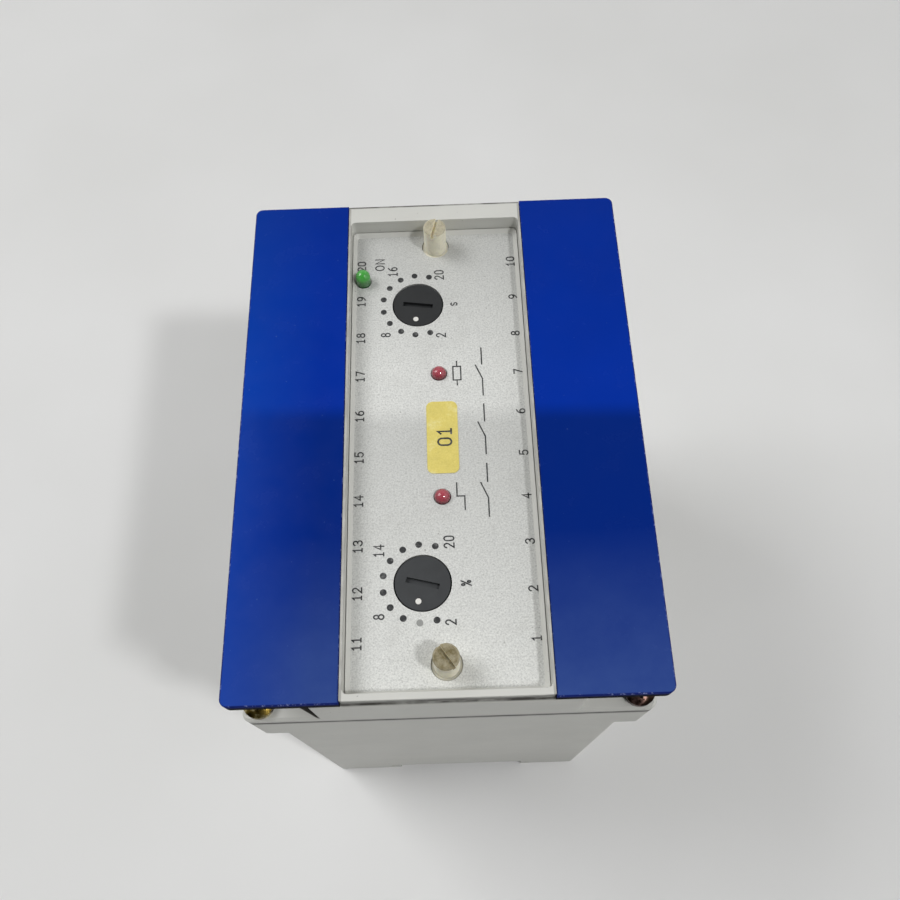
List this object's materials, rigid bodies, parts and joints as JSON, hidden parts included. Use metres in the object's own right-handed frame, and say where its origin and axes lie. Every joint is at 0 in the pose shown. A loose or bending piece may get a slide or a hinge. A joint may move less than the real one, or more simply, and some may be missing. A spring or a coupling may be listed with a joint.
{
  "type": "protection relay",
  "caption": "Rail-mounted protection relay in a grey two-part case, with blue terminal covers, a sunk silver panel, trimmer dials, lamps and screw terminals.",
  "frame": {"origin": "centre of the back face, in the plane it rests on", "axes": "+Z from the back to the panel, +Y along the mounting rail, +X towards the latch side"},
  "size_m": [0.074, 0.101, 0.1175],
  "materials": {
    "case_abs": "moulded, fine grain, dirty along its seams",
    "latch_nylon": "moulded",
    "spring_steel": "drawn wire",
    "gold_zinc": "yellow-passivated zinc on steel",
    "panel_silver": "fine-grained silver face",
    "label_paper": "printed sticker, worn",
    "dial_plastic": "moulded",
    "green_lens": "tinted epoxy",
    "red_lens": "tinted epoxy",
    "nylon_cream": "yellowed nylon",
    "cover_blue": "polished acrylic, dusty",
    "terminal_black": "moulded phenolic",
    "terminal_brass": "stamped",
    "zinc_steel": "bright zinc",
    "board_green": "solder mask",
    "pot_blue": "moulded",
    "chip_black": "moulded epoxy",
    "core_iron": "varnished laminations",
    "coil_copper": "enamelled copper wire",
    "resin_black": "potted",
    "relay_cream": "moulded shell",
    "sleeve_blue": "shrunk sleeve"
  },
  "bodies": {
    "case": {"lower_case": "case_abs", "upper_case": "case_abs", "panel_frame": "case_abs", "latch_spring": "spring_steel", "case_screws": "gold_zinc", "front_panel": "panel_silver", "panel_bead": "case_abs", "yellow_label": "label_paper", "green_led": "green_lens", "upper_red_led": "red_lens", "lower_red_led": "red_lens", "left_terminal_block": "terminal_black", "right_terminal_block": "terminal_black", "left_terminal_bars": "terminal_brass", "right_terminal_bars": "terminal_brass", "left_clamp_washers": "zinc_steel", "right_clamp_washers": "zinc_steel", "left_terminal_screws": "zinc_steel", "right_terminal_screws": "zinc_steel", "front_board": "board_green", "time_potentiometer": "pot_blue", "level_potentiometer": "pot_blue", "chips": "chip_black", "board_link": "chip_black", "main_board": "board_green", "transformer_core": "core_iron", "transformer_winding": "coil_copper", "current_transformer": "resin_black", "output_relay": "relay_cream", "capacitors": "sleeve_blue", "board_screws": "zinc_steel"},
    "time_dial": {"time_knob": "dial_plastic"},
    "level_dial": {"level_knob": "dial_plastic"},
    "upper_screw": {"upper_post": "nylon_cream"},
    "lower_screw": {"lower_post": "nylon_cream"},
    "latch": {"rail_latch": "latch_nylon"},
    "left_cover_plate": {"left_cover": "cover_blue"},
    "right_cover_plate": {"right_cover": "cover_blue"}
  },
  "joints": [
    {"name": "time_dial_turn", "type": "hinge", "parent": "case", "child": "time_dial", "pos_m": [-0.00385, 0.0281, 0.11], "axis": [0, 0, 1], "range_deg": [-191.5, 27.5]},
    {"name": "level_dial_turn", "type": "hinge", "parent": "case", "child": "level_dial", "pos_m": [-0.00385, -0.0297, 0.11], "axis": [0, 0, 1], "range_deg": [-185.5, 33.5]},
    {"name": "upper_screw_turn", "type": "hinge", "parent": "case", "child": "upper_screw", "pos_m": [0, 0.0423, 0.11], "axis": [0, 0, 1], "continuous": true},
    {"name": "lower_screw_turn", "type": "hinge", "parent": "case", "child": "lower_screw", "pos_m": [0, -0.0439, 0.11], "axis": [0, 0, 1], "continuous": true},
    {"name": "latch_slide", "type": "slide", "parent": "case", "child": "latch", "axis": [1, 0, 0], "range_m": [0, 0.003], "stiffness_N_per_m": 600, "springref_m": -0.002, "deforming": ["latch_spring"]},
    {"name": "left_cover_lift", "type": "slide", "parent": "case", "child": "left_cover_plate", "axis": [0, 0, 1], "range_m": [0, 0.0035]},
    {"name": "right_cover_lift", "type": "slide", "parent": "case", "child": "right_cover_plate", "axis": [0, 0, 1], "range_m": [0, 0.0035]}
  ]
}
